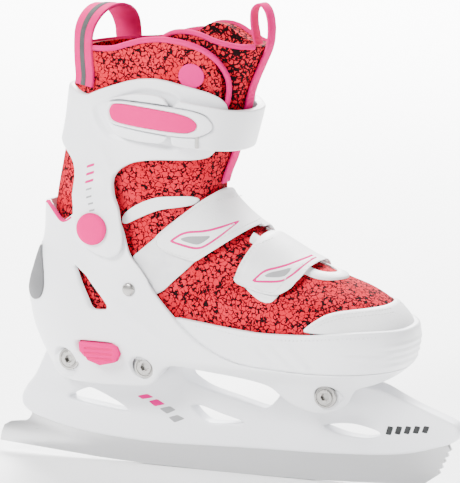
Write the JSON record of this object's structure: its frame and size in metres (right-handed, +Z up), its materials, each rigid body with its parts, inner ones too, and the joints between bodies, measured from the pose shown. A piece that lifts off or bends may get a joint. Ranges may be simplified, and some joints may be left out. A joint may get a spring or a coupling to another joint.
{
  "type": "ice skate",
  "caption": "Child's adjustable recreational ice skate: soft knit boot in a hinged plastic shell, rigid blade holder, blade with toe picks, ratchet-style lever buckle and hook-and-loop straps.",
  "frame": {"origin": "middle of the flat that the blade stands on, on the ice, halfway through the blade's thickness", "axes": "+X forward to the toe along the blade, +Y to the inner side of the foot, +Z up from the ice"},
  "size_m": [0.3017, 0.0983, 0.2859],
  "materials": {
    "steel": "brushed",
    "white_plastic": "satin moulded",
    "pink_plastic": "satin moulded",
    "gray_plastic": "matte moulded",
    "knit": "printed knit",
    "faux_leather": "fine grain",
    "mesh_cloth": "fine mesh",
    "webbing": "ribbed webbing",
    "foam": "cloth-covered foam"
  },
  "bodies": {
    "root": {"blade": "steel", "blade_holder": "white_plastic", "heel_shell": "white_plastic", "heel_insert_outer": "gray_plastic", "heel_insert_inner": "gray_plastic", "bolt_rear": "steel", "bolt_middle": "steel", "bolt_front": "steel", "sleeve_nut_rear": "steel", "sleeve_nut_middle": "steel", "sleeve_nut_front": "steel", "shell_rivet_outer": "steel", "shell_rivet_inner": "steel", "ankle_pin_outer": "steel", "ankle_pin_inner": "steel", "pivot_cap_outer": "pink_plastic", "pivot_cap_inner": "pink_plastic", "liner_lower": "knit", "footbed": "foam", "ankle_trim_outer": "faux_leather", "ankle_trim_inner": "faux_leather", "strap_upper": "faux_leather", "loop_pad_upper": "mesh_cloth", "button_spring": "steel"},
    "flap_upper": {"flap_upper": "faux_leather"},
    "toe": {"toe_shell": "white_plastic", "slide_rack": "gray_plastic", "vamp": "knit", "toe_cap": "faux_leather", "throat_trim": "faux_leather", "strap_lower": "faux_leather", "loop_pad_lower": "faux_leather"},
    "flap_lower": {"flap_lower": "faux_leather"},
    "button": {"size_button": "pink_plastic"},
    "cuff": {"cuff": "white_plastic", "liner_upper": "knit", "tongue": "knit", "buckle_base": "white_plastic", "buckle_rivet_1": "steel", "buckle_rivet_2": "steel", "strap_anchor": "white_plastic", "strap_rivet": "steel", "heel_loop": "webbing", "tongue_loop": "webbing"},
    "strap": {"cuff_strap": "white_plastic", "lever_pin": "steel"},
    "lever": {"lever": "white_plastic", "lever_insert": "pink_plastic"}
  },
  "joints": [
    {"name": "cuff_flex", "type": "hinge", "parent": "root", "child": "cuff", "pos_m": [-0.0705, 0, 0.152], "axis": [0, 1, 0], "range_deg": [-5, 9]},
    {"name": "strap_swing", "type": "hinge", "parent": "cuff", "child": "strap", "pos_m": [-0.026, 0.0464, 0.218], "axis": [0, 0, 1], "range_deg": [0, 50]},
    {"name": "lever_open", "type": "hinge", "parent": "strap", "child": "lever", "pos_m": [-0.0056, -0.03815, 0.217], "axis": [0, 0, 1], "range_deg": [0, 70]},
    {"name": "toe_slide", "type": "slide", "parent": "root", "child": "toe", "axis": [1, 0, 0], "range_m": [0, 0.02]},
    {"name": "button_press", "type": "slide", "parent": "root", "child": "button", "axis": [0, 1, 0], "range_m": [0, 0.0025], "stiffness_N_per_m": 600, "springref_m": -0.003},
    {"name": "flap_upper_peel", "type": "hinge", "parent": "root", "child": "flap_upper", "pos_m": [0.0087, 0, 0.1652], "axis": [-0.7111, 0, 0.7031], "range_deg": [0, 45]},
    {"name": "flap_lower_peel", "type": "hinge", "parent": "toe", "child": "flap_lower", "pos_m": [0.0396, 0, 0.144], "axis": [-0.8821, 0, 0.4711], "range_deg": [0, 60]}
  ]
}
